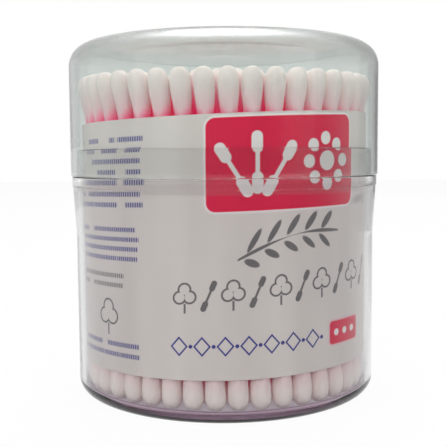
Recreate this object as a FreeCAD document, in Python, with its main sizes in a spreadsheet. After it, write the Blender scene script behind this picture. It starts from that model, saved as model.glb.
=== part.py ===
import FreeCAD, Part
import math
import os

import Sketcher

# A round tub of cotton swabs in clear polystyrene. A cup with a thick foot holds the swabs upright in rings, a
# paper sleeve stands round them inside the cup, and a deep slip-on lid covers the cup's neck and rests on its collar.
# Millimetres, +Z up, origin at the middle of the foot's resting ring. The camera's side of the object is -Y.

doc = FreeCAD.newDocument("cotton_swab_tub")

# Driving sizes: name, value. The lid's outside radius leads, and the tub, the sleeve and the rings of swabs follow
# inwards from it by walls and clearances. Heights follow upwards from the foot, and the swabs carry the lid's height.
SIZES = [
    ("lid_radius", 37.5),
    ("lid_wall", 1.3),
    ("lid_edge_radius", 5.6),
    ("panel_border", 4.5),
    ("panel_depth", 1.0),
    ("gate_radius", 1.3),
    ("gate_height", 0.45),
    ("headspace_height", 5.85),
    ("seat_gap", 0.05),
    ("fit_gap", 0.3),
    ("neck_wall", 0.9),
    ("neck_height", 6.4),
    ("collar_inset", 0.25),
    ("collar_step_width", 0.15),
    ("collar_height", 2.35),
    ("wall_height", 49.65),
    ("flare_height", 11.15),
    ("body_wall", 1.4),
    ("floor_thickness", 1.6),
    ("cavity_chamfer", 1.0),
    ("foot_edge_radius", 3.2),
    ("foot_ring_width", 3.7),
    ("foot_recess_depth", 0.6),
    ("foot_recess_slope_width", 0.6),
    ("label_gap", 0.35),
    ("label_thickness", 0.2),
    ("label_height", 55.85),
    ("label_foot_height", 7.45),
    ("label_bottom_skew", 0.65),
    ("label_top_skew", 1.3),
    ("label_lap_width", 9.0),
    ("label_to_head_gap", 0.05),
    ("swab_length", 73.0),
    ("swab_rest_gap", 0.05),
    ("stick_radius", 1.2),
    ("head_length", 15.5),
    ("head_neck_radius", 1.5),
    ("outer_head_radius", 2.35),
    ("head_gap", 0.08),
    ("bundle_twist_width", 2.0),
]

sheet = doc.addObject("Spreadsheet::Sheet", "sizes")
for row, (name, value) in enumerate(SIZES, start=1):
    sheet.set(f"A{row}", name)
    sheet.set(f"B{row}", str(value))
    sheet.setAlias(f"B{row}", name)
doc.recompute()


def size(name):
    """One driving size, as the sheet holds it."""
    return float(sheet.get(name))


def worked_out(expression):
    """The value of an expression on the sheet's sizes."""
    return float(sheet.evalExpression(expression))


def origin_part(body, role):
    """The body's own origin plane or axis of that role, such as XZ_Plane or Z_Axis."""
    return next(item for item in body.Origin.OriginFeatures if item.Role == role)


def new_body(label):
    """An empty body that carries one piece and names its file."""
    body = doc.addObject("PartDesign::Body", label)
    body.Label = label
    return body


def hold_corner(sketch, index, where):
    """Holds the start of line number index at (across, up), two expressions on the sheet's sizes."""
    for kind, axis, expression in (("DistanceX", -2, where[0]), ("DistanceY", -1, where[1])):
        if expression == "0":
            sketch.addConstraint(Sketcher.Constraint("PointOnObject", index, 1, axis))
            continue
        value = worked_out(expression)
        number = sketch.addConstraint(Sketcher.Constraint(kind, -1, 1, index, 1, value))
        sketch.setExpression(f"Constraints[{number}]", expression)


def outline(body, name, corners, plane="XZ_Plane"):
    """A closed outline with a straight side between corners, each corner held by two expressions."""
    sketch = body.newObject("Sketcher::SketchObject", name)
    sketch.AttachmentSupport = [(origin_part(body, plane), "")]
    sketch.MapMode = "FlatFace"
    points = [FreeCAD.Vector(worked_out(across), worked_out(up), 0) for across, up in corners]
    for start, end in zip(points, points[1:] + points[:1]):
        sketch.addGeometry(Part.LineSegment(start, end), False)
    for index in range(len(points)):
        after = (index + 1) % len(points)
        sketch.addConstraint(Sketcher.Constraint("Coincident", index, 2, after, 1))
    for index, where in enumerate(corners):
        hold_corner(sketch, index, where)
    return sketch


def turned(body, sketch, name, angle=360.0, middle=False):
    """The outline turned round the body's upright axis."""
    turn = body.newObject("PartDesign::Revolution", name)
    turn.Profile = sketch
    turn.ReferenceAxis = (origin_part(body, "Z_Axis"), [""])
    turn.Midplane = middle
    turn.Angle = angle
    doc.recompute()
    return turn


def quarter_round(across, up, radius, first_angle, bands):
    """Corners of a quarter round about a centre, in flat bands, from first_angle on anticlockwise."""
    corners = []
    for band in range(bands + 1):
        angle = math.radians(first_angle + 90 * band / bands)
        corners.append(
            (
                f"{across} + {math.cos(angle):.6f} * ({radius})",
                f"{up} + {math.sin(angle):.6f} * ({radius})",
            )
        )
    return corners


# Tub: one clear moulding. Its foot is a thick disc with a shallow recess below and a rounded edge, its wall flares
# into a collar that the lid rests on, and a thinner neck stands on the collar inside the lid.
NECK_RADIUS = "(sizes.lid_radius - sizes.lid_wall - sizes.fit_gap)"
CAVITY_RADIUS = f"({NECK_RADIUS} - sizes.neck_wall)"
BODY_RADIUS = f"({CAVITY_RADIUS} + sizes.body_wall)"
COLLAR_RADIUS = "(sizes.lid_radius - sizes.collar_inset)"
COLLAR_TOP = "(sizes.wall_height + sizes.collar_height)"
FLOOR_TOP = "(sizes.foot_recess_depth + sizes.floor_thickness)"
FOOT_EDGE = f"({BODY_RADIUS} - sizes.foot_edge_radius)"
RECESS_RADIUS = f"({FOOT_EDGE} - sizes.foot_ring_width)"
FOOT_BANDS = 2

tub = new_body("tub")
tub_outline = outline(
    tub,
    "tub_outline",
    [
        ("0", "sizes.foot_recess_depth"),
        (f"{RECESS_RADIUS} - sizes.foot_recess_slope_width", "sizes.foot_recess_depth"),
        (RECESS_RADIUS, "0"),
    ]
    + quarter_round(FOOT_EDGE, "sizes.foot_edge_radius", "sizes.foot_edge_radius", -90, FOOT_BANDS)
    + [
        (BODY_RADIUS, "sizes.wall_height - sizes.flare_height"),
        (f"{COLLAR_RADIUS} - sizes.collar_step_width", "sizes.wall_height"),
        (COLLAR_RADIUS, "sizes.wall_height"),
        (COLLAR_RADIUS, COLLAR_TOP),
        (NECK_RADIUS, COLLAR_TOP),
        (NECK_RADIUS, f"{COLLAR_TOP} + sizes.neck_height"),
        (CAVITY_RADIUS, f"{COLLAR_TOP} + sizes.neck_height"),
        (CAVITY_RADIUS, f"{FLOOR_TOP} + sizes.cavity_chamfer"),
        (f"{CAVITY_RADIUS} - sizes.cavity_chamfer", FLOOR_TOP),
        ("0", FLOOR_TOP),
    ],
)
turned(tub, tub_outline, "tub_turned")

# Lid: one clear moulding, a deep cap with a well rounded top edge. The middle of its top is let in by a shallow step,
# with the mould's gate mark standing at its centre, and the wall keeps one thickness all over.
INNER_RADIUS = "(sizes.lid_radius - sizes.lid_wall)"
RIM_HEIGHT = f"({COLLAR_TOP} + sizes.seat_gap)"
SWAB_TOP = f"({FLOOR_TOP} + sizes.swab_rest_gap + sizes.swab_length)"
PANEL_UNDERSIDE = f"({SWAB_TOP} + sizes.headspace_height)"
PANEL_HEIGHT = f"({PANEL_UNDERSIDE} + sizes.lid_wall)"
LID_TOP = f"({PANEL_HEIGHT} + sizes.panel_depth)"
ROUND_ACROSS = "(sizes.lid_radius - sizes.lid_edge_radius)"
ROUND_UP = f"({LID_TOP} - sizes.lid_edge_radius)"
PANEL_RADIUS = f"({ROUND_ACROSS} - sizes.panel_border)"
TOP_BANDS = 4
CEILING_BANDS = 2

lid = new_body("lid")
lid_outline = outline(
    lid,
    "lid_outline",
    [
        ("0", PANEL_UNDERSIDE),
        (PANEL_RADIUS, PANEL_UNDERSIDE),
        (f"{PANEL_RADIUS} + sizes.panel_depth", f"{LID_TOP} - sizes.lid_wall"),
    ]
    + quarter_round(ROUND_ACROSS, ROUND_UP, "sizes.lid_edge_radius - sizes.lid_wall", 0, CEILING_BANDS)[::-1]
    + [
        (INNER_RADIUS, RIM_HEIGHT),
        ("sizes.lid_radius", RIM_HEIGHT),
    ]
    + quarter_round(ROUND_ACROSS, ROUND_UP, "sizes.lid_edge_radius", 0, TOP_BANDS)
    + [
        (PANEL_RADIUS, LID_TOP),
        (f"{PANEL_RADIUS} - sizes.panel_depth", PANEL_HEIGHT),
        ("sizes.gate_radius", PANEL_HEIGHT),
        ("sizes.gate_radius", f"{PANEL_HEIGHT} + sizes.gate_height"),
        ("0", f"{PANEL_HEIGHT} + sizes.gate_height"),
    ],
)
turned(lid, lid_outline, "lid_turned")

# Label sleeve: a strip of paper wrapped round the swabs inside the tub, its ends lapped and glued at the back. It was
# wrapped a little askew, so both its edges climb from left to right.
label = new_body("label_sleeve")
LABEL_RADIUS = f"({CAVITY_RADIUS} - sizes.label_gap)"
LABEL_FOOT = f"({FLOOR_TOP} + sizes.label_foot_height)"
LABEL_HEAD = f"({LABEL_FOOT} + sizes.label_height)"


def sleeve_wall(name, plane, inner, outer, angle, middle):
    """An upright wall between two radii, turned through an angle, taller than the sleeve by the skew of its edges."""
    foot = f"{LABEL_FOOT} - 2 * sizes.label_bottom_skew"
    head = f"{LABEL_HEAD} + 2 * sizes.label_top_skew"
    corners = [(inner, foot), (outer, foot), (outer, head), (inner, head)]
    return turned(label, outline(label, name + "_outline", corners, plane), name, angle, middle)


PAPER_INSIDE = f"({LABEL_RADIUS} - sizes.label_thickness)"
PAPER_MIDDLE = f"({LABEL_RADIUS} - 0.5 * sizes.label_thickness)"
LAP_OUTSIDE = f"({LABEL_RADIUS} + sizes.label_thickness)"
LAP_ANGLE = f"180 * sizes.label_lap_width / (pi * {LABEL_RADIUS})"
sleeve_wall("wrap", "XZ_Plane", PAPER_INSIDE, LABEL_RADIUS, 360.0, False)
lap = sleeve_wall("lap", "YZ_Plane", PAPER_MIDDLE, LAP_OUTSIDE, worked_out(LAP_ANGLE), True)
lap.setExpression("Angle", LAP_ANGLE)

REACH = "2 * sizes.lid_radius"
for edge_name, edge, skew, far in (
    ("lower_edge", LABEL_FOOT, "sizes.label_bottom_skew", "(-1) * sizes.lid_radius"),
    ("upper_edge", LABEL_HEAD, "sizes.label_top_skew", f"{LID_TOP} + sizes.lid_radius"),
):
    rise = f"{skew} * 2 * sizes.lid_radius / {LABEL_RADIUS}"
    trim_outline = outline(
        label,
        edge_name + "_outline",
        [
            (f"(-1) * {REACH}", f"{edge} - {rise}"),
            (REACH, f"{edge} + {rise}"),
            (REACH, far),
            (f"(-1) * {REACH}", far),
        ],
    )
    trim = label.newObject("PartDesign::Pocket", edge_name)
    trim.Profile = trim_outline
    trim.Type = "ThroughAll"
    trim.Midplane = True
    doc.recompute()

# Swabs: a polypropylene stick between two wound cotton heads. They stand in rings: the outer ring is the row that
# shows through the wall, and the heads of the rings inside it are pressed slimmer, until a last ring of three fills
# the middle. The whole bundle is twisted a little, so that each swab's upper head stands round to the left of its
# lower one, and the second ring's heads stand in the gaps of the first. Sticks and heads have flat facets, because
# there are some two hundred of them, and a stick meets its heads end to end.
BELLY_AT = 0.68
SHOULDER_AT = 0.93
RINGS = 8
CORE_ROOM = 1.2
STICK_SIDES = 3


def facets(levels, sides):
    """A solid with a ring of corners at each (radius, height), flat at its ends or pointed where a radius is 0."""
    loops = []
    for radius, height in levels:
        corners = 1 if radius == 0 else sides
        turns = [2 * math.pi * corner / sides for corner in range(corners)]
        loops.append([FreeCAD.Vector(radius * math.cos(a), radius * math.sin(a), height) for a in turns])
    faces = []
    for end in (loops[0], loops[-1]):
        if len(end) > 1:
            faces.append(Part.Face(Part.makePolygon(end + end[:1])))
    for lower, upper in zip(loops, loops[1:]):
        for corner in range(sides):
            after = (corner + 1) % sides
            side = [lower[corner % len(lower)], lower[after % len(lower)]]
            side += [upper[after % len(upper)], upper[corner % len(upper)]]
            side = [point for place, point in enumerate(side) if point != side[place - 1]]
            faces.append(Part.Face(Part.makePolygon(side + side[:1])))
    solid = Part.Solid(Part.Shell(faces))
    if solid.Volume < 0:
        solid.reverse()
    return solid


def head_levels(radius, pointed):
    """Heights up a head that points up, from the stick: a narrow neck, the belly and the tip."""
    length = size("head_length")
    neck = (size("head_neck_radius") * radius / size("outer_head_radius"), 0.0)
    belly = (radius, BELLY_AT * length)
    if pointed:
        return [neck, belly, (0, length)]
    return [neck, belly, (0.6 * radius, SHOULDER_AT * length), (0, length)]


def swab_pieces(head_radius, lower_sides, upper_sides, pointed):
    """A stick, its lower head and its upper head, upright with the lower tip at the origin."""
    length = size("swab_length")
    head = size("head_length")
    levels = head_levels(head_radius, pointed)
    lower = facets([(radius, head - height) for radius, height in levels[::-1]], lower_sides)
    upper = facets([(radius, length - head + height) for radius, height in levels], upper_sides)
    stick = facets([(size("stick_radius"), head), (size("stick_radius"), length - head)], STICK_SIDES)
    return {"sticks": stick, "bottom_heads": lower, "top_heads": upper}


def pressed_radius(outer_ring):
    """Radius of the inner heads that lets the given number of rings fill the room inside the outer ring."""
    room = outer_ring - size("outer_head_radius") - (RINGS - 1) * size("head_gap")
    core = CORE_ROOM * 2 / math.sqrt(3)
    return (room - core * size("head_gap") / 2) / (2 * RINGS - 3 + core)


def ring_places():
    """Radius, head radius and count of each ring, from the sleeve inwards."""
    gap = size("head_gap")
    head = size("outer_head_radius")
    radius = worked_out(PAPER_INSIDE) - size("label_to_head_gap") - head
    inner_head = pressed_radius(radius)
    places = []
    for _ in range(RINGS):
        places.append((radius, head, int(math.pi / math.asin((head + gap / 2) / radius))))
        radius -= head + inner_head + gap
        head = inner_head
    return places


def standing(radius, foot_angle):
    """Where a swab stands: its lower tip at this radius and angle, its upper tip round by the bundle's twist."""
    turn = FreeCAD.Rotation(FreeCAD.Vector(0, 0, 1), foot_angle)
    twist = math.degrees(size("bundle_twist_width") / rings[0][0])
    height = worked_out(FLOOR_TOP) + size("swab_rest_gap")
    foot = turn.multVec(FreeCAD.Vector(radius, 0, height))
    tip = FreeCAD.Rotation(FreeCAD.Vector(0, 0, 1), -twist).multVec(foot)
    rise = math.sqrt(size("swab_length") ** 2 - foot.distanceToPoint(tip) ** 2)
    slant = FreeCAD.Rotation(FreeCAD.Vector(0, 0, 1), tip - foot + FreeCAD.Vector(0, 0, rise))
    return FreeCAD.Placement(foot, slant.multiply(turn))


FRONT = -90
FIRST_SWAB_ANGLE = 4.95
RING_TURN = 141.43
swab_groups = []
rings = ring_places()
outer_swab = swab_pieces(rings[0][1], 6, 6, False)
inner_swab = swab_pieces(rings[1][1], 3, 4, True)
for ring_number, (ring_radius, head_radius, count) in enumerate(rings, start=1):
    pieces = outer_swab if ring_number == 1 else inner_swab
    first = FRONT + FIRST_SWAB_ANGLE + RING_TURN * (ring_number - 1)
    places = [standing(ring_radius, first + 360 * swab / count) for swab in range(count)]
    for piece_name, piece in pieces.items():
        copies = [piece.transformed(place.toMatrix(), copy=True) for place in places]
        group = doc.addObject("Part::Feature", f"{piece_name}_ring_{ring_number}")
        group.Label = f"{piece_name}_ring_{ring_number}"
        group.Shape = Part.makeCompound(copies)
        swab_groups.append(group)

doc.recompute()
for item in doc.Objects:
    if "Invalid" in item.State or "Error" in item.State:
        raise RuntimeError(f"{item.Label} did not compute: {item.State}")

os.makedirs("parts", exist_ok=True)
for item in [tub, lid, label] + swab_groups:
    shape = item.Shape
    if shape.isNull() or not shape.isValid():
        raise RuntimeError(f"{item.Label} has no valid shape")
    shape.exportStep(f"parts/{item.Label}.step")
    print(item.Label, len(shape.Solids), "solids", round(shape.Volume, 1), "mm3")
print("swabs:", sum(ring[2] for ring in rings), "in", len(rings), "rings")
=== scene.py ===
import math

import bpy
import numpy as np
from mathutils import Matrix, Vector


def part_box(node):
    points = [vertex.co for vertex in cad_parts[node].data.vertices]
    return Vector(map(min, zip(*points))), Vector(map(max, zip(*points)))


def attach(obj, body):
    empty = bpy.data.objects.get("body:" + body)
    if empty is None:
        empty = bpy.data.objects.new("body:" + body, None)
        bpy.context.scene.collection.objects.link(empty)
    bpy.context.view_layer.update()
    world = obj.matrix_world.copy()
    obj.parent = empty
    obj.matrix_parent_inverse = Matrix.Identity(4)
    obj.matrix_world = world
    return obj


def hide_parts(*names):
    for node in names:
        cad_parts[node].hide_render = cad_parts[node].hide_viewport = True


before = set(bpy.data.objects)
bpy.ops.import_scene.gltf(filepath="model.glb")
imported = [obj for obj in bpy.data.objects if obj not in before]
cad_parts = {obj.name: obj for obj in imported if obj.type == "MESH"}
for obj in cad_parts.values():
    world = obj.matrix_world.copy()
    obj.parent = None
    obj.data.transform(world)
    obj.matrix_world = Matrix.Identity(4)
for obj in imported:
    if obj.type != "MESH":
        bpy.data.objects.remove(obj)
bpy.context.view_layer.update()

# Studio: a white floor and backdrop, soft boxes overhead, in front, on each side and behind, and a dark
# card on each side behind the tub, out of the view, that gives the clear edges their outline. Sizes are in
# metres, and the camera stands where the photograph was taken.
MM = 0.001
CAMERA_PLACE = (0.0, -202.493 * MM, 57.297 * MM)
CAMERA_YAW = -0.0014215
CAMERA_PITCH = 0.0862122
CAMERA_ROLL = -0.0069964
FOCAL_PIXELS = 812.878
IMAGE_PIXELS = 447
SENSOR = 36.0


class Wire:
    """A value in a material, so that + - * / and the methods below add Math nodes to it."""

    def __init__(self, tree, socket):
        self.tree = tree
        self.socket = socket

    def math(self, operation, *others):
        node = self.tree.nodes.new("ShaderNodeMath")
        node.operation = operation
        for slot, value in enumerate((self,) + others):
            if isinstance(value, Wire):
                self.tree.links.new(value.socket, node.inputs[slot])
            else:
                node.inputs[slot].default_value = value
        return Wire(self.tree, node.outputs[0])

    def __add__(self, other):
        return self.math("ADD", other)

    def __sub__(self, other):
        return self.math("SUBTRACT", other)

    def __mul__(self, other):
        return self.math("MULTIPLY", other)

    def __truediv__(self, other):
        return self.math("DIVIDE", other)

    def __neg__(self):
        return self * -1.0

    def __rsub__(self, other):
        return -self + other

    __radd__ = __add__
    __rmul__ = __mul__

    def clamped(self):
        return self.math("MAXIMUM", 0.0).math("MINIMUM", 1.0)

    def smooth(self, low, high):
        """0 below low, 1 above high, and an S between them."""
        share = ((self - low) / (high - low)).clamped()
        return share * share * (3.0 - 2.0 * share)

    def inside(self, low, high, soft):
        """1 between low and high, 0 outside, with a soft edge of that width."""
        return (((self - low) / soft + 0.5).clamped()) * (((high - self) / soft + 0.5).clamped())


class Finish:
    """A material built from nodes: node() makes one from its type, its settings and its inputs."""

    def __init__(self, name, owner=None):
        self.material = owner or bpy.data.materials.new(name)
        self.material.use_nodes = True
        self.tree = self.material.node_tree
        self.tree.nodes.clear()

    def node(self, kind, settings=None, inputs=None):
        node = self.tree.nodes.new("ShaderNode" + kind)
        for name, value in (settings or {}).items():
            setattr(node, name, value)
        for name, value in (inputs or {}).items():
            if isinstance(value, Wire):
                self.tree.links.new(value.socket, node.inputs[name])
            else:
                node.inputs[name].default_value = value
        return node

    def wire(self, node, output=0):
        return Wire(self.tree, node.outputs[output])

    def place(self):
        """Object coordinates in millimetres, as three wires."""
        coordinates = self.node("TexCoord")
        split = self.node("SeparateXYZ", inputs={"Vector": self.wire(coordinates, "Object")})
        return [self.wire(split, axis) / MM for axis in "XYZ"]

    def vector(self, x, y, z):
        return self.wire(self.node("CombineXYZ", inputs={"X": x, "Y": y, "Z": z}))

    def noise(self, vector, scale, detail):
        node = self.node("TexNoise", inputs={"Vector": vector, "Scale": scale, "Detail": detail})
        return self.wire(node, "Fac")

    def mixed(self, share, first, second):
        """The first colour where share is 0 and the second where it is 1."""
        node = self.node("Mix", {"data_type": "RGBA"}, {0: share, 6: first, 7: second})
        return self.wire(node, 2)

    def bump(self, height, distance, strength):
        node = self.node("Bump", inputs={"Height": height, "Distance": distance, "Strength": strength})
        return self.wire(node)

    def lit_through(self, shader, share, tint):
        """The shader, with a share of the lamps' light passing straight through it, tinted."""
        straight = self.node("BsdfTransparent", inputs={"Color": tint})
        path = self.node("LightPath")
        passing = share * self.wire(path, "Is Shadow Ray")
        return self.wire(self.node("MixShader", inputs={0: passing, 1: shader, 2: self.wire(straight)}))

    def end(self, shader, kind="Material", volume=None):
        output = self.node("Output" + kind)
        self.tree.links.new(shader.socket, output.inputs["Surface"])
        if volume:
            self.tree.links.new(volume.socket, output.inputs["Volume"])
        return self.material


def colour(red, green, blue):
    return (red, green, blue, 1.0)


def seen_through(finish):
    """1 for camera, mirror and glass rays, which show the background, and 0 for rays that light things."""
    path = finish.node("LightPath")
    seen = finish.wire(path, "Is Camera Ray") + finish.wire(path, "Is Glossy Ray")
    return (seen + finish.wire(path, "Is Transmission Ray")).clamped()


camera = bpy.data.objects.new("camera", bpy.data.cameras.new("camera"))
bpy.context.scene.collection.objects.link(camera)
camera.data.lens = SENSOR * FOCAL_PIXELS / IMAGE_PIXELS
camera.data.sensor_width = SENSOR
camera.data.clip_start = 0.01
ahead = Vector((math.sin(CAMERA_YAW), math.cos(CAMERA_YAW), -math.tan(CAMERA_PITCH))).normalized()
level = ahead.cross(Vector((0, 0, 1))).normalized()
upright = level.cross(ahead)
across = level * math.cos(CAMERA_ROLL) + upright * math.sin(CAMERA_ROLL)
above = upright * math.cos(CAMERA_ROLL) - level * math.sin(CAMERA_ROLL)
turn = Matrix((across, above, -ahead)).transposed()
camera.matrix_world = Matrix.Translation(CAMERA_PLACE) @ turn.to_4x4()
bpy.context.scene.camera = camera
bpy.context.scene.view_settings.view_transform = "Standard"

WHITE = (1, 1, 1)
DIFFUSE_SKY = 0.3
world = bpy.data.worlds.new("studio")
bpy.context.scene.world = world
sky = Finish("studio", world)
open_air = sky.node("Background", inputs={"Color": colour(*WHITE), "Strength": 1.0})
dim_air = sky.node("Background", inputs={"Color": colour(*WHITE), "Strength": DIFFUSE_SKY})
air = sky.node("MixShader", inputs={0: seen_through(sky), 1: sky.wire(dim_air), 2: sky.wire(open_air)})
sky.end(sky.wire(air), "World")

FLOOR_SIZE = 3.0
FLOOR_HEIGHT = -0.05 * MM
FLOOR_GREY = 0.9
FLOOR_WHITENESS = 0.955
bpy.ops.mesh.primitive_plane_add(size=FLOOR_SIZE, location=(0, 0, FLOOR_HEIGHT))
floor = bpy.context.object
floor.name = "floor"
floor_finish = Finish("white_floor")
lit_floor = floor_finish.node("BsdfDiffuse", inputs={"Color": colour(FLOOR_GREY, FLOOR_GREY, FLOOR_GREY)})
white_floor = floor_finish.node("Emission", inputs={"Color": colour(*WHITE), "Strength": 1.0})
floor_mix = floor_finish.node(
    "MixShader",
    inputs={
        0: seen_through(floor_finish) * FLOOR_WHITENESS,
        1: floor_finish.wire(lit_floor),
        2: floor_finish.wire(white_floor),
    },
)
floor.data.materials.append(floor_finish.end(floor_finish.wire(floor_mix)))


def soft_light(name, place, aim, width, depth, watts):
    """A rectangular soft box at place, facing aim."""
    lamp = bpy.data.lights.new(name, "AREA")
    lamp.shape = "RECTANGLE"
    lamp.size = width
    lamp.size_y = depth
    lamp.energy = watts
    box = bpy.data.objects.new(name, lamp)
    bpy.context.scene.collection.objects.link(box)
    box.location = place
    box.rotation_euler = (Vector(aim) - Vector(place)).to_track_quat("-Z", "Y").to_euler()
    return box


CARD_TOP = 0.9


def dark_card(name, near, far, foot, grey):
    """An upright card behind the tub, from near to far (x, y), that only mirrored and bent rays see."""
    mesh = bpy.data.meshes.new(name)
    corners = [(*near, foot), (*far, foot), (*far, CARD_TOP), (*near, CARD_TOP)]
    mesh.from_pydata(corners, [], [(0, 1, 2, 3)])
    finish = Finish(name)
    shine = finish.node("Emission", inputs={"Color": colour(grey, grey, grey), "Strength": 1.0})
    mesh.materials.append(finish.end(finish.wire(shine)))
    card = bpy.data.objects.new(name, mesh)
    bpy.context.scene.collection.objects.link(card)
    card.visible_camera = card.visible_diffuse = card.visible_shadow = False


dark_card("dark_card_left", (-0.25, 0.6), (-0.95, 0.4), 0.06, 0.74)
dark_card("dark_card_right", (0.25, 0.6), (0.95, 0.4), 0.0, 0.58)
soft_light("overhead_box", (0.0, 0.06, 0.58), (0.0, 0.06, 0.0), 0.30, 0.50, 2.0)
soft_light("front_box", (-0.10, -0.90, 0.36), (0.0, 0.0, 0.05), 0.5, 0.2, 1.5)
soft_light("left_box", (-0.75, -0.65, 0.40), (0.0, 0.0, 0.04), 0.6, 0.6, 2.2)
soft_light("right_box", (0.80, -0.60, 0.35), (0.0, 0.0, 0.04), 0.5, 0.5, 2.0)
back_box = soft_light("back_box", (0.10, 0.85, 0.50), (0.0, 0.0, 0.04), 0.6, 0.3, 2.0)
back_box.visible_glossy = back_box.visible_transmission = False

# Tub: one clear polystyrene injection moulding. A thick foot disc with a recess below, a straight wall that
# flares out under the collar, and a thin neck above it that the lid slips over. It shows the swabs and the
# paper inside.
TURN_COLUMNS = 240
TURNED_SHARP = 25
lid_low, lid_high = (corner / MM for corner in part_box("lid"))
tub_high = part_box("tub")[1] / MM
LID_RADIUS = lid_high.x
COLLAR_RADIUS = tub_high.x
RIM_HEIGHT = lid_low.z
TUB_HEIGHT = tub_high.z
LID_WALL = 1.3
FIT_GAP = 0.3
SEAT_GAP = 0.05
NECK_WALL = 0.9
BODY_WALL = 1.4
COLLAR_HEIGHT = 2.35
COLLAR_STEP = 0.15
FLARE_HEIGHT = 11.15
FLARE_ROUND = 30.0
FLOOR_TOP = 2.2
FLOOR_ROUND = 1.2
FOOT_ROUND = 3.2
FOOT_RING = 3.7
RECESS = 0.6
POLYSTYRENE_IOR = 1.59
POLISH = 0.015
EDGE_SHINE = 0.45
MIRROR_TINT = (0.08, 0.08, 0.08)
LIGHT_TINT = (0.885, 0.895, 0.89)
FADING_TINT = (0.80, 0.83, 0.82)
BAND_BLUR = 0.35


def rounded_outline(corners):
    """Points of an outline of corners (radius, height, rounding): each corner is replaced by the arc of its
    rounding that touches both its sides, in steps of about 5 degrees."""
    places = np.array([corner[:2] for corner in corners], float)
    points = [places[0]]
    for index in range(1, len(corners) - 1):
        here = places[index]
        rounding = corners[index][2]
        back = (places[index - 1] - here) / np.linalg.norm(places[index - 1] - here)
        on = (places[index + 1] - here) / np.linalg.norm(places[index + 1] - here)
        bend = math.acos(np.clip(back @ on, -1, 1))
        if rounding == 0 or math.pi - bend < 0.02:
            points.append(here)
            continue
        centre = here + (back + on) / np.linalg.norm(back + on) * rounding / math.sin(bend / 2)
        first = here + back * rounding / math.tan(bend / 2) - centre
        last = here + on * rounding / math.tan(bend / 2) - centre
        steps = max(2, int(math.degrees(math.pi - bend) / 5))
        for step in range(steps + 1):
            share = step / steps * (math.pi - bend)
            arc = first * math.sin(math.pi - bend - share) + last * math.sin(share)
            points.append(centre + arc / math.sin(math.pi - bend))
    points.append(places[-1])
    return np.array(points)


def surface(name, points, faces, material, sharp=None):
    """A mesh object from points in millimetres and faces, turned outwards by the sign of its volume."""
    points = np.asarray(points, float)
    corner_sum = 0.0
    for size in (3, 4):
        group = np.array([face for face in faces if len(face) == size])
        for last in range(2, size):
            if len(group):
                first, second, third = (points[group[:, place]] for place in (0, last - 1, last))
                corner_sum += np.einsum("ij,ij->", first, np.cross(second, third))
    if corner_sum < 0:
        faces = [face[::-1] for face in faces]
    mesh = bpy.data.meshes.new(name)
    mesh.from_pydata(points * MM, [], faces)
    mesh.shade_smooth()
    if sharp is not None:
        mesh.set_sharp_from_angle(angle=math.radians(sharp))
    mesh.materials.append(material)
    piece = bpy.data.objects.new(name, mesh)
    bpy.context.scene.collection.objects.link(piece)
    return piece


def turned_faces(rows, columns):
    """Faces between rows of points round an axis, and to a pole at each end, numbered after the rows."""
    column = np.arange(columns)
    after = (column + 1) % columns
    low = np.arange(rows - 1)[:, None] * columns
    high = low + columns
    sides = np.stack([low + column, low + after, high + after, high + column], axis=-1)
    pole, last = rows * columns, (rows - 1) * columns
    foot = np.stack([np.full(columns, pole), after, column], axis=-1)
    head = np.stack([np.full(columns, pole + 1), last + column, last + after], axis=-1)
    return sides.reshape(-1, 4).tolist() + foot.tolist() + head.tolist()


def turned(name, outline, material):
    """A solid of revolution: each outline point (radius, height) becomes the circle (r sin a, -r cos a,
    height), and the first and last points lie on the axis."""
    angle = np.linspace(0, 2 * math.pi, TURN_COLUMNS, endpoint=False)
    ring = outline[1:-1]
    points = np.stack(
        [
            np.outer(ring[:, 0], np.sin(angle)),
            -np.outer(ring[:, 0], np.cos(angle)),
            np.outer(ring[:, 1], np.ones(TURN_COLUMNS)),
        ],
        axis=-1,
    ).reshape(-1, 3)
    poles = [(0, 0, outline[0][1]), (0, 0, outline[-1][1])]
    points = np.vstack([points, poles])
    return surface(name, points, turned_faces(len(ring), TURN_COLUMNS), material, TURNED_SHARP)


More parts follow.
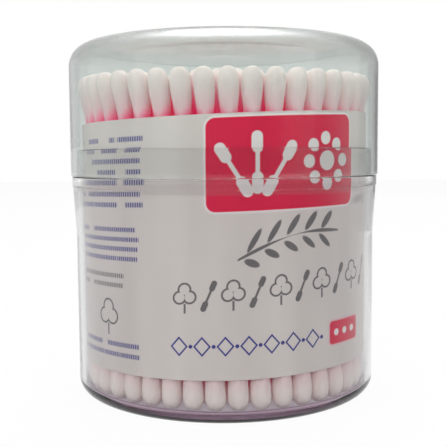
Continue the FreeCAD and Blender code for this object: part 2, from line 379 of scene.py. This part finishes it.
def clear_plastic(name, bands, shiny, edge=None, frosted_from=200.0, fading=0.0):
    """Clear moulded polystyrene. Light passes it straight on its way to lighting what stands inside, and is
    bent and tinted for every ray that sees it. Bands are (height, tint) from the foot up: each tint holds
    up to the next height, and a band can be painted shade. The edge, as (tint, radius, height), paints
    shade on the thick edge of the foot, outside that radius and under that height. The surface is a little
    less polished above frosted_from and shines most between the two heights of shiny. With a density of
    fading, the plastic darkens light a little."""
    finish = Finish(name)
    x, y, z = finish.place()
    shade = colour(*bands[0][1])
    for height, tint in bands[1:]:
        shade = finish.mixed(z.smooth(height - BAND_BLUR, height + BAND_BLUR), shade, colour(*tint))
    # Painted shade: the edge's tint darkens the thick edge of the foot.
    if edge:
        painted_edge_shade, edge_radius, edge_height = edge
        radius = (x * x + y * y).math("SQRT")
        outside = radius.smooth(edge_radius - 0.2, edge_radius + 0.2)
        under = 1.0 - z.smooth(edge_height - 0.5, edge_height)
        shade = finish.mixed(outside * under, shade, colour(*painted_edge_shade))
    ripple = finish.noise(finish.vector(x, y, z * 0.35), 0.05, 1.0)
    specks = finish.noise(finish.vector(x, y, z), 0.6, 3.0)
    moulded = finish.node(
        "BsdfPrincipled",
        inputs={
            "Base Color": shade,
            "Roughness": POLISH + 0.03 * specks + 0.19 * z.smooth(frosted_from, frosted_from + 3.0),
            "IOR": POLYSTYRENE_IOR,
            "Specular Tint": colour(*MIRROR_TINT),
            "Transmission Weight": 1.0,
            "Coat Weight": EDGE_SHINE * z.inside(shiny[0], shiny[1], 0.3),
            "Normal": finish.bump(ripple, 0.25 * MM, 0.6),
        },
    )
    passing = finish.lit_through(finish.wire(moulded), 1.0, colour(*LIGHT_TINT))
    if fading:
        inside = finish.node("VolumeAbsorption", inputs={"Color": colour(*FADING_TINT), "Density": fading})
        return finish.end(passing, volume=finish.wire(inside))
    return finish.end(passing)


neck_radius = LID_RADIUS - LID_WALL - FIT_GAP
cavity_radius = neck_radius - NECK_WALL
body_radius = cavity_radius + BODY_WALL
collar_top = RIM_HEIGHT - SEAT_GAP
wall_height = collar_top - COLLAR_HEIGHT
recess_radius = body_radius - FOOT_ROUND - FOOT_RING

tub_outline = rounded_outline(
    [
        (0, FLOOR_TOP, 0),
        (cavity_radius, FLOOR_TOP, FLOOR_ROUND),
        (cavity_radius, TUB_HEIGHT, 0.15),
        (neck_radius, TUB_HEIGHT, 0.3),
        (neck_radius, collar_top, 0.1),
        (COLLAR_RADIUS, collar_top, 0.25),
        (COLLAR_RADIUS, wall_height, 0.1),
        (COLLAR_RADIUS - COLLAR_STEP, wall_height, 0.05),
        (body_radius, wall_height - FLARE_HEIGHT, FLARE_ROUND),
        (body_radius, 0, FOOT_ROUND),
        (recess_radius, 0, 0.4),
        (recess_radius - RECESS, RECESS, 0.3),
        (0, RECESS, 0),
    ]
)
# Painted shade: the foot's purple-grey tint and its darker thick edge stand for dark seen through the base.
PAINTED_FOOT_SHADE = (0.52, 0.46, 0.51)
WALL_TINT = (0.74, 0.745, 0.745)
# Painted shade: a darker band of the clear tub just below the lid's rim.
PAINTED_RIM_SHADE = (0.645, 0.64, 0.64)
NECK_TINT = (1.0, 0.995, 1.0)
PAINTED_FOOT_EDGE_SHADE = (0.24, 0.15, 0.21)
tub_bands = [
    (0, PAINTED_FOOT_SHADE),
    (2.6, WALL_TINT),
    (RIM_HEIGHT - 3.3, PAINTED_RIM_SHADE),
    (RIM_HEIGHT - 1.1, WALL_TINT),
    (collar_top, NECK_TINT),
]
painted_foot_edge = (PAINTED_FOOT_EDGE_SHADE, cavity_radius - 2.0, FOOT_ROUND)
collar_shine = (wall_height - 1.0, collar_top + 0.2)
clear_tub = clear_plastic("clear_tub", tub_bands, collar_shine, painted_foot_edge)
tub = turned("tub_moulding", tub_outline, clear_tub)
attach(tub, "tub")
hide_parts("tub")

# Lid: a second clear moulding, a deep cap with a well rounded top edge. Its flat top is let in by a shallow
# step, with the mark of the mould's gate at its centre, and its open rim rests on the tub's collar.
LID_ROUND = 5.6
PANEL_BORDER = 4.5
PANEL_DEPTH = 1.0
PANEL_ROUND = 7.0
GATE_RADIUS = 1.3
GATE_HEIGHT = 0.45

lid_top = lid_high.z
panel_radius = LID_RADIUS - LID_ROUND - PANEL_BORDER
panel_height = lid_top - PANEL_DEPTH
inner_radius = LID_RADIUS - LID_WALL
lid_outline = rounded_outline(
    [
        (0, panel_height + GATE_HEIGHT, 0),
        (GATE_RADIUS, panel_height + GATE_HEIGHT, 0.2),
        (GATE_RADIUS, panel_height, 0.1),
        (panel_radius - 2.5 * PANEL_DEPTH, panel_height, PANEL_ROUND),
        (panel_radius + 0.5 * PANEL_DEPTH, lid_top, PANEL_ROUND),
        (LID_RADIUS, lid_top, LID_ROUND),
        (LID_RADIUS, RIM_HEIGHT, 0.3),
        (inner_radius, RIM_HEIGHT, 0.2),
        (inner_radius, lid_top - LID_WALL, LID_ROUND - LID_WALL),
        (panel_radius + PANEL_DEPTH, lid_top - LID_WALL, PANEL_ROUND),
        (panel_radius - 2.0 * PANEL_DEPTH, panel_height - LID_WALL, PANEL_ROUND),
        (0, panel_height - LID_WALL, 0),
    ]
)
LID_TINT = (0.80, 0.825, 0.81)
LID_FADING = 170.0
rim_shine = (RIM_HEIGHT - 0.5, RIM_HEIGHT + 0.9)
frosted_from = lid_top - LID_ROUND
clear_lid = clear_plastic("clear_lid", [(0, LID_TINT)], rim_shine, None, frosted_from, LID_FADING)
lid = turned("lid_moulding", lid_outline, clear_lid)
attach(lid, "lid")
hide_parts("lid")

# Label sleeve: one strip of printed paper, wrapped round the swabs inside the tub and lapped at the back.
# It was put in a little askew and isn't quite smooth. The print is a crimson tab, thin grey drawings and
# rows of fine marks.
LABEL_GAP = 0.35
PAPER = 0.2
LABEL_FOOT = 9.65
LABEL_HEIGHT = 55.85
FOOT_SKEW = 0.65
HEAD_SKEW = 1.3
LAP_WIDTH = 9.0
SLACK = 0.06
PRINT_BLUR = 0.16
LABEL_COLUMNS = 300
LABEL_ROWS = 36
CRIMSON = (0.75, 0.001, 0.056)
PALE_PINK = (0.83, 0.50, 0.55)
WHITE_PRINT = (0.86, 0.80, 0.80)
GREY_INK = (0.16, 0.145, 0.15)
NAVY_INK = (0.04, 0.042, 0.26)
PAPER_WHITE = (0.75, 0.685, 0.665)
PAPER_SHADE = (0.65, 0.585, 0.565)

label_radius = cavity_radius - LABEL_GAP


def paper_strip(name, material):
    """The sleeve as a strip of a little more than one turn. Along it the angle goes once round from the lap
    at the back, the radius grows by the paper's thickness over the lap and has slow ripples, and each edge
    climbs by its skew times the sine of the angle. Up it the height runs evenly from edge to edge."""
    columns, rows = LABEL_COLUMNS, LABEL_ROWS
    lap = LAP_WIDTH / label_radius
    along = np.linspace(0, 1, columns)
    up = np.linspace(0, 1, rows)
    angle = math.pi - lap / 2 + along * (2 * math.pi + lap)
    over = np.clip((along - 1 + 2 * lap / (2 * math.pi)) / (lap / (2 * math.pi)), 0, 1)
    over = over * over * (3 - 2 * over)
    ripple = 0.03 * np.sin(5 * angle + 1.0) + 0.02 * np.sin(13 * angle + 0.4)
    outside = label_radius - SLACK + ripple + over * PAPER * 0.98
    foot = LABEL_FOOT + FOOT_SKEW * np.sin(angle)
    head = LABEL_FOOT + LABEL_HEIGHT + HEAD_SKEW * np.sin(angle)
    sheets = []
    for inset in (0.0, PAPER * 0.9):
        radius = (outside - inset)[:, None] + 0.015 * np.sin(9 * angle)[:, None] * np.sin(7 * up)[None, :]
        height = foot[:, None] + (head - foot)[:, None] * up[None, :]
        sheets.append(
            np.stack([radius * np.sin(angle)[:, None], -radius * np.cos(angle)[:, None], height], axis=-1)
        )
    points = np.concatenate([sheet.reshape(-1, 3) for sheet in sheets])
    back = columns * rows
    faces = []
    for column in range(columns - 1):
        for row in range(rows - 1):
            here = column * rows + row
            faces.append((here, here + rows, here + rows + 1, here + 1))
            faces.append((back + here, back + here + 1, back + here + rows + 1, back + here + rows))
        for row in (0, rows - 1):
            here = column * rows + row
            rim = (here, back + here, back + here + rows, here + rows)
            faces.append(rim if row == 0 else rim[::-1])
    for column in (0, columns - 1):
        for row in range(rows - 1):
            here = column * rows + row
            side = (here, here + 1, back + here + 1, back + here)
            faces.append(side if column == 0 else side[::-1])
    return surface(name, points, faces, material, 40)


def printed_paper(name):
    """White paper with its print, as shapes worked out from s, the millimetres round the sleeve from the
    middle of its front, and h, the millimetres up from its lower edge. Each shape takes u and v, distances
    from its own place, and a motif that repeats is drawn once, on a coordinate folded at its pitch."""
    finish = Finish(name)
    x, y, z = finish.place()
    angle = x.math("ARCTAN2", -y)
    s = angle * label_radius
    share = (z - LABEL_FOOT) / LABEL_HEIGHT
    h = z - LABEL_FOOT - (FOOT_SKEW + (HEAD_SKEW - FOOT_SKEW) * share) * angle.math("SINE")
    soft = PRINT_BLUR

    def length(u, v):
        return (u * u + v * v).math("SQRT")

    def folded(value, first, pitch, count):
        """Distance to the nearest of count places, a pitch apart from the first."""
        step = ((value - first) / pitch + 0.5).math("FLOOR")
        step = step.math("MAXIMUM", 0.0).math("MINIMUM", count - 1.0)
        return value - first - pitch * step

    def panel(u, v, half_width, half_height, rounding):
        """Share of a rounded rectangle, from the distance to its edge."""
        out_u = u.math("ABSOLUTE") - (half_width - rounding)
        out_v = v.math("ABSOLUTE") - (half_height - rounding)
        outer = length(out_u.math("MAXIMUM", 0.0), out_v.math("MAXIMUM", 0.0))
        inner = out_u.math("MAXIMUM", out_v).math("MINIMUM", 0.0)
        return (0.5 - (outer + inner - rounding) / soft).clamped()

    def disc(u, v, radius):
        """Share of a disc."""
        return (0.5 - (length(u, v) - radius) / soft).clamped()

    def swab(u, v, lean, half_length, radius, tip):
        """Share of a little drawn swab: a thin rod that leans, with a thicker rounded end on each side."""
        lean_sin, lean_cos = math.sin(math.radians(lean)), math.cos(math.radians(lean))
        reach = (u * lean_sin + v * lean_cos).math("ABSOLUTE") - half_length
        beside = u * lean_cos - v * lean_sin
        stick = length(reach.math("MAXIMUM", 0.0), beside) - radius
        bud = length((reach.math("ABSOLUTE") - tip * 0.9).math("MAXIMUM", 0.0), beside) - tip
        return (0.5 - stick.math("MINIMUM", bud) / soft).clamped()

    def leaf(u, v, lean, half_length, half_width, blur=1.0):
        """Share of a drawn leaf, an ellipse that leans."""
        lean_sin, lean_cos = math.sin(math.radians(lean)), math.cos(math.radians(lean))
        along = (u * lean_sin + v * lean_cos) / half_length
        beside = (u * lean_cos - v * lean_sin) / half_width
        return (0.5 - (length(along, beside) - 1.0) * (half_width / (soft * blur))).clamped()

    def boll(u, v, size):
        """Share of a drawn cotton boll: the outline of three discs that overlap, on a short stalk."""
        side = length(u.math("ABSOLUTE") - 0.62 * size, v)
        cloud = side.math("MINIMUM", length(u, v - 0.95 * size)) - 0.85 * size
        outline = (0.5 - ((cloud + 0.2).math("ABSOLUTE") - 0.21) / soft).clamped()
        return outline.math("MAXIMUM", panel(u, v + 1.35 * size, 0.22, 0.6 * size, 0.1))

    def fine_rows(left, right, bottom, pitch, count, seed):
        """Share of rows of dashes of uneven length, each an even hatching of fine upright lines, with a
        ragged right end."""
        row = ((h - bottom) / pitch).math("FLOOR")
        in_row = (((h - bottom) / pitch).math("FRACT")).inside(0.22, 0.68, 0.12)
        hatching = (s * (2 * math.pi / 0.62)).math("SINE").smooth(-1.3, 0.3)
        dashes = finish.noise(finish.vector(s * 0.22 + seed, row * 3.1, 4.0), 1.0, 0.0)
        ragged = finish.noise(finish.vector(row * 5.7, seed, 2.0), 1.0, 0.0)
        ends = s.inside(left, right - 5.0 * ragged, 0.2) * h.inside(bottom, bottom + pitch * count, 0.05)
        return 0.92 * in_row * ends * hatching * dashes.smooth(0.34, 0.38)

    grain = finish.noise(finish.vector(x, y, z), 1.4, 4.0)
    cloud = finish.noise(finish.vector(x, y, z * 0.08), 0.12, 2.0)
    dull = cloud.smooth(0.3, 0.7) * 0.6 + 0.15 * grain
    paper = finish.mixed(dull, colour(*PAPER_WHITE), colour(*PAPER_SHADE))

    tab_u, tab_v = s - 13.8, h - 45.3
    fan_u, fan_v = s - 6.8, h - 36.4
    lean = folded(fan_u.math("ARCTAN2", fan_v), math.radians(-32), math.radians(32), 3)
    fan_reach = length(fan_u, fan_v)
    fan_beside, fan_along = fan_reach * lean.math("SINE"), fan_reach * lean.math("COSINE")
    rose_u, rose_v = s - 23.2, tab_v
    turn = folded(rose_u.math("ARCTAN2", rose_v), -math.pi, math.pi / 4, 9)
    rose_reach = length(rose_u, rose_v)
    rose_beside, rose_along = rose_reach * turn.math("SINE"), rose_reach * turn.math("COSINE")
    rise = (s - 2.6) / 24.0
    above_stem = h - 25.4 - 4.8 * rise - 2.2 * (rise * math.pi).math("SINE")
    thickness = 0.20 + 0.16 * (rise * math.pi * 3.0).math("SINE")
    stem = ((thickness - above_stem.math("ABSOLUTE") * 0.9) / soft + 0.5).clamped()
    stem = stem * s.inside(2.6, 27.0, 0.3)
    row_v = h - 18.2 - 0.05 * s
    chain_v = h - 7.3
    diamond = folded(s, -9.8, 4.9, 7).math("ABSOLUTE") * 1.15 + chain_v.math("ABSOLUTE") - 1.9
    badge_u, badge_v = s - 29.6, h - 7.6
    back_v = h - 46.5
    layers = [
        (panel(tab_u, tab_v, 18.0, 10.1, 2.3), WHITE_PRINT),
        (panel(tab_u, tab_v, 17.6, 9.7, 2.0), CRIMSON),
        (swab(fan_beside, fan_along - 9.2, 0, 4.2, 0.45, 1.2), WHITE_PRINT),
        (disc(rose_u, rose_v, 2.1), WHITE_PRINT),
        (disc(rose_beside, rose_along - 4.8, 1.4), WHITE_PRINT),
        (stem, GREY_INK),
        (leaf(folded(s, 6.1, 4.3, 5), above_stem - 2.3, 38, 2.3, 0.75), GREY_INK),
        (leaf(folded(s, 5.6, 4.3, 5), above_stem + 2.2, 132, 2.1, 0.65), GREY_INK),
        (boll(folded(s, -8.5, 10.2, 5), row_v, 1.75), GREY_INK),
        (swab(folded(s, -3.4, 10.2, 5), row_v, 24, 2.3, 0.26, 0.62), GREY_INK),
        ((0.5 - (diamond.math("ABSOLUTE") - 0.26) / soft).clamped(), NAVY_INK),
        (disc(folded(s, -7.35, 4.9, 7), chain_v, 0.42), NAVY_INK),
        (panel(badge_u, badge_v, 5.4, 2.9, 1.0), PALE_PINK),
        (panel(badge_u, badge_v, 5.05, 2.55, 0.8), CRIMSON),
        (disc(folded(s, 26.7, 2.9, 3), badge_v, 0.75), WHITE_PRINT),
        (fine_rows(-41.0, -15.6, 36.4, 2.35, 7, 1.7), NAVY_INK),
        (fine_rows(-41.0, -16.6, 24.6, 2.15, 4, 9.2), NAVY_INK),
        (fine_rows(-41.0, -20.0, 18.6, 2.15, 2, 4.4), GREY_INK),
        (fine_rows(-40.0, -17.0, 3.0, 2.3, 2, 6.1), NAVY_INK),
        # painted shade: a soft dark smudge near the right of the front, in the grey ink's colour
        (0.4 * leaf(s - 35.2, h - 36.6, 82, 3.4, 0.9, 6.0), GREY_INK),
        # a small dark spot beside the smudge, in the grey ink's colour
        (0.8 * leaf(s - 37.6, h - 35.8, 8, 0.9, 0.3), GREY_INK),
        (boll(s + 28.6, h - 12.5, 2.2), GREY_INK),
        (panel(s + 76.0, back_v, 14.0, 5.0, 1.6), CRIMSON),
        (disc(folded(s, -86.0, 5.0, 5), back_v, 1.5), WHITE_PRINT),
        (fine_rows(-90.0, -60.0, 14.0, 2.3, 11, 5.1), GREY_INK),
        (boll(s - 73.0, h - 45.5, 3.4), GREY_INK),
        (fine_rows(58.0, 90.0, 14.0, 2.3, 10, 3.3), NAVY_INK),
    ]
    print_colour = paper
    for share_of, ink_colour in layers:
        print_colour = finish.mixed(share_of, print_colour, colour(*ink_colour))
    fibres = finish.noise(finish.vector(x * 3.0, y * 3.0, z * 5.0), 1.0, 5.0)
    bsdf = finish.node(
        "BsdfPrincipled",
        inputs={
            "Base Color": print_colour,
            "Roughness": 0.55 + 0.2 * grain,
            "Specular IOR Level": 0.35,
            "Normal": finish.bump(fibres, 0.03 * MM, 0.5),
        },
    )
    return finish.end(finish.wire(bsdf))


label = paper_strip("label_paper", printed_paper("printed_paper"))
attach(label, "tub")
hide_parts("label_sleeve")

# Swabs: thin pink plastic sticks with cotton wound round each end, standing in rings. The outer heads are
# full and rounded and spread a little above the paper, and the inner ones are pressed slimmer. The cotton
# thins towards the stick, whose pink shows through there.
SWAB_LENGTH = 73.0
SWAB_FOOT = 2.25
STICK_RADIUS = 1.2
HEAD_LENGTH = 15.5
NECK_RADIUS = 1.5
OUTER_HEAD = 2.35
HEAD_GAP = 0.08
RINGS = 8
CORE_ROOM = 1.2
TWIST_WIDTH = 2.0
FIRST_SWAB_ANGLE = 4.95
RING_TURN = 141.43
SPREAD = 1.35
SPREAD_FROM = 65.5
LABEL_TO_HEAD = 0.05
BELLY = 0.78
SWELL_POWER = 1.3
DOME_POWER = 2.4
OUTER_GRID = (20, 15)
INNER_GRID = (8, 7)
OUTER_SIDES = 12
INNER_SIDES = 6
OUTER_LUMPS = 0.022
INNER_LUMPS = 0.03

outer_ring = label_radius - PAPER - LABEL_TO_HEAD - OUTER_HEAD
core = CORE_ROOM * 2 / math.sqrt(3)
inner_head = (outer_ring - OUTER_HEAD - (RINGS - 1 + core / 2) * HEAD_GAP) / (2 * RINGS - 3 + core)
swab_top = SWAB_FOOT + SWAB_LENGTH


def ring_places():
    """Radius, head radius and count of each ring, from the sleeve inwards, each ring as full as it goes."""
    radius, head = outer_ring, OUTER_HEAD
    for _ in range(RINGS):
        yield radius, head, int(math.pi / math.asin((head + HEAD_GAP / 2) / radius))
        radius -= head + inner_head + HEAD_GAP
        head = inner_head


def cotton_head(radius, around, along, seed, lumpy):
    """One head from its neck at height 0 to its tip: along its length the radius is a smooth swell from the
    neck to the belly and a rounded dome over the tip, with slow lumps from a few seeded waves."""
    chance = np.random.default_rng(seed)
    rise = np.linspace(0, 1, along // 2, endpoint=False)
    over = np.sin(np.linspace(0, math.pi / 2, along - along // 2, endpoint=False))
    share = np.concatenate([0.6 * rise, 0.6 + 0.4 * over])
    neck = NECK_RADIUS * radius / OUTER_HEAD
    swell = np.clip(share / BELLY, 0, 1)
    swell = (swell * swell * (3 - 2 * swell)) ** SWELL_POWER
    dome = np.clip((share - BELLY) / (1 - BELLY), 0, 1)
    profile = (neck + (radius - neck) * swell) * np.clip(1 - dome**DOME_POWER, 0, 1) ** (1 / DOME_POWER)
    turn = np.linspace(0, 2 * math.pi, around, endpoint=False)
    lumps = np.zeros((along, around))
    for wave in range(1, 4):
        size = lumpy / wave * chance.uniform(0.4, 1.0)
        climb = 7 * wave * share[:, None] * 0.6
        lumps += size * np.sin(wave * turn[None, :] + climb + chance.uniform(0, 6.3))
    width = profile[:, None] * (1 - lumpy * 2 + lumps)
    height = share[:, None] * HEAD_LENGTH * np.ones((1, around))
    points = np.stack([width * np.cos(turn), width * np.sin(turn), height], axis=-1).reshape(-1, 3)
    return np.vstack([points, [(0, 0, 0), (0, 0, HEAD_LENGTH)]]), turned_faces(along, around)


def stood_up(points, radius, foot_angle):
    """Points of an upright swab moved to its place: turned, leaned by the bundle's twist, and its upper
    head spread outwards above the sleeve."""
    turn = math.radians(foot_angle - 90)
    twist = -TWIST_WIDTH / outer_ring
    foot = Vector((radius * math.cos(turn), radius * math.sin(turn), SWAB_FOOT))
    tip = Matrix.Rotation(twist, 3, "Z") @ foot
    run = tip - foot
    run.z = math.sqrt(SWAB_LENGTH**2 - run.length_squared)
    slant = Vector((0, 0, 1)).rotation_difference(run).to_matrix() @ Matrix.Rotation(turn, 3, "Z")
    placed = points @ np.array(slant).T + np.array(foot)
    out = np.clip((placed[:, 2] - SPREAD_FROM) / (swab_top - SPREAD_FROM), 0, 1)
    out = SPREAD * out * out * (3 - 2 * out) * radius / outer_ring
    middle = turn + twist
    placed[:, 0] += out * math.cos(middle)
    placed[:, 1] += out * math.sin(middle)
    return placed


COTTON_WHITE = (0.90, 0.815, 0.785)
COTTON_SHADE = (0.82, 0.73, 0.70)
COTTON_BLUSH = (0.88, 0.38, 0.50)
COTTON_CRIMSON = (1.0, 0.025, 0.22)
# Painted light: the crimson cotton near the stick glows a little, to brighten the shade between heads.
PAINTED_GLOW_CRIMSON = (1.0, 0.0, 0.19)
PAINTED_GLOW_STRENGTH = 0.11
COTTON_LET_THROUGH = 0.78
THROUGH_COTTON = (1.0, 0.68, 0.76)


def wound_cotton(name, deep_to, thin_to):
    """Cotton wool wound on slantwise: white and matt, with fine slanting fibres. It is crimson near the
    stick, up to deep_to of its length, and pink up to thin_to, because the stick shows through thin cotton.
    The crimson glows a little: a painted glow that lights up the pink in the shade between the heads."""
    finish = Finish(name)
    uv = finish.node("UVMap", {"uv_map": "wound"})
    split = finish.node("SeparateXYZ", inputs={"Vector": finish.wire(uv)})
    around, along = finish.wire(split, "X"), finish.wire(split, "Y")
    x, y, z = finish.place()
    phase = (around + 0.55 * along) * (2 * math.pi)
    beside = (around * (2 * math.pi)).math("SINE").math("ABSOLUTE")
    thin = 1.0 - along.smooth(deep_to * 0.5, thin_to)
    deep = 1.0 - (along - 0.12 * beside).smooth(deep_to * 0.3, deep_to)
    tuft = finish.noise(finish.vector(x, y, z * 0.5), 0.55, 3.0)
    white = finish.mixed(tuft, colour(*COTTON_WHITE), colour(*COTTON_SHADE))
    blush = finish.mixed(thin * 0.6, white, colour(*COTTON_BLUSH))
    pink = finish.mixed(deep * 0.92, blush, colour(*COTTON_CRIMSON))
    slanting = finish.vector(5.6 * phase.math("COSINE"), 5.6 * phase.math("SINE"), 5.5 * along + 0.11 * x)
    # painted glow of the crimson cotton
    painted_glow = finish.mixed(deep, colour(0, 0, 0), colour(*PAINTED_GLOW_CRIMSON))
    fibre = finish.noise(slanting, 1.0, 4.0)
    fluff = finish.noise(finish.vector(x * 2.4, y * 2.4, z * 2.4), 1.0, 5.0)
    bsdf = finish.node(
        "BsdfPrincipled",
        inputs={
            "Base Color": pink,
            "Roughness": 0.92 + 0.08 * fluff,
            "Specular IOR Level": 0.15,
            "Sheen Weight": 0.25,
            "Sheen Roughness": 0.5,
            "Emission Color": painted_glow,
            "Emission Strength": PAINTED_GLOW_STRENGTH,
            "Normal": finish.bump(fibre * 0.6 + fluff * 0.4, 0.22 * MM, 0.9),
        },
    )
    through = finish.lit_through(finish.wire(bsdf), COTTON_LET_THROUGH, colour(*THROUGH_COTTON))
    return finish.end(through)


def wound_map(polygon, around, along):
    """Share round and share up for each corner of a head's face. A face over the seam runs on to 1, and a
    pole takes the middle of its face."""
    columns = [corner % around for corner in polygon.vertices if corner < around * along]
    over_seam = max(columns) - min(columns) > 1
    middle = sum(column or around if over_seam else column for column in columns) / len(columns)
    shares = []
    for corner in polygon.vertices:
        row, column = divmod(corner, around)
        if row >= along:
            shares.append((middle / around, corner - around * along))
        else:
            shares.append(((column or around if over_seam else column) / around, row / (along - 1)))
    return shares


STICK_PINK = (0.78, 0.05, 0.20)
STICK_STREAK = (0.62, 0.03, 0.13)


def pink_plastic(name):
    """Pink polypropylene tube, a little waxy, with faint drawn streaks along it."""
    finish = Finish(name)
    x, y, z = finish.place()
    streak = finish.noise(finish.vector(x * 2.0, y * 2.0, z * 0.06), 1.0, 2.0)
    bsdf = finish.node(
        "BsdfPrincipled",
        inputs={
            "Base Color": finish.mixed(streak, colour(*STICK_PINK), colour(*STICK_STREAK)),
            "Roughness": 0.34 + 0.1 * streak,
        },
    )
    return finish.end(finish.wire(bsdf))


def bundle(name, parts, faces, material, around=None, along=None):
    """Many like pieces as one mesh: their points stacked, their faces numbered on. Heads get a map of their
    own, round by share and up by share."""
    count = len(parts[0])
    points = np.concatenate(parts)
    size = len(faces)
    starts = range(0, len(parts) * count, count)
    all_faces = [tuple(point + start for point in face) for start in starts for face in faces]
    piece = surface(name, points, all_faces, material)
    if around:
        first = [share for face in piece.data.polygons[:size] for share in wound_map(face, around, along)]
        wound = np.tile(np.array(first, np.float32), (len(parts), 1))
        piece.data.uv_layers.new(name="wound").data.foreach_set("uv", wound.ravel())
    return piece


full_cotton = wound_cotton("full_cotton", 0.36, 0.72)
pressed_cotton = wound_cotton("pressed_cotton", 0.72, 0.92)
stick_pink = pink_plastic("pink_stick")
for ring, (ring_radius, head_radius, count) in enumerate(ring_places(), start=1):
    outer = ring == 1
    around, along = OUTER_GRID if outer else INNER_GRID
    cotton = full_cotton if outer else pressed_cotton
    sides = OUTER_SIDES if outer else INNER_SIDES
    lumpy = OUTER_LUMPS if outer else INNER_LUMPS
    angle = np.linspace(0, 2 * math.pi, sides, endpoint=False)
    circle = np.stack([STICK_RADIUS * np.cos(angle), STICK_RADIUS * np.sin(angle)], axis=-1)
    low = np.hstack([circle, np.full((sides, 1), HEAD_LENGTH)])
    high = np.hstack([circle, np.full((sides, 1), SWAB_LENGTH - HEAD_LENGTH)])
    stick = np.vstack([low, high, [(0, 0, HEAD_LENGTH), (0, 0, SWAB_LENGTH - HEAD_LENGTH)]])
    stick_faces = turned_faces(2, sides)
    sticks, lower, upper = [], [], []
    for swab in range(count):
        foot_angle = FIRST_SWAB_ANGLE + RING_TURN * (ring - 1) + 360 * swab / count
        seed = 1000 * ring + swab
        head, head_faces = cotton_head(head_radius, around, along, seed, lumpy)
        foot, head_faces = cotton_head(head_radius, around, along, seed + 500, lumpy)
        upright = head + (0, 0, SWAB_LENGTH - HEAD_LENGTH)
        hanging = foot * (1, 1, -1) + (0, 0, HEAD_LENGTH)
        sticks.append(stood_up(stick, ring_radius, foot_angle))
        upper.append(stood_up(upright, ring_radius, foot_angle))
        lower.append(stood_up(hanging, ring_radius, foot_angle))
    pieces = {
        "sticks": bundle(f"sticks_{ring}", sticks, stick_faces, stick_pink),
        "bottom_heads": bundle(f"lower_cotton_{ring}", lower, head_faces, cotton, around, along),
        "top_heads": bundle(f"upper_cotton_{ring}", upper, head_faces, cotton, around, along),
    }
    for node, piece in pieces.items():
        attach(piece, "tub")
        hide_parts(f"{node}_ring_{ring}")
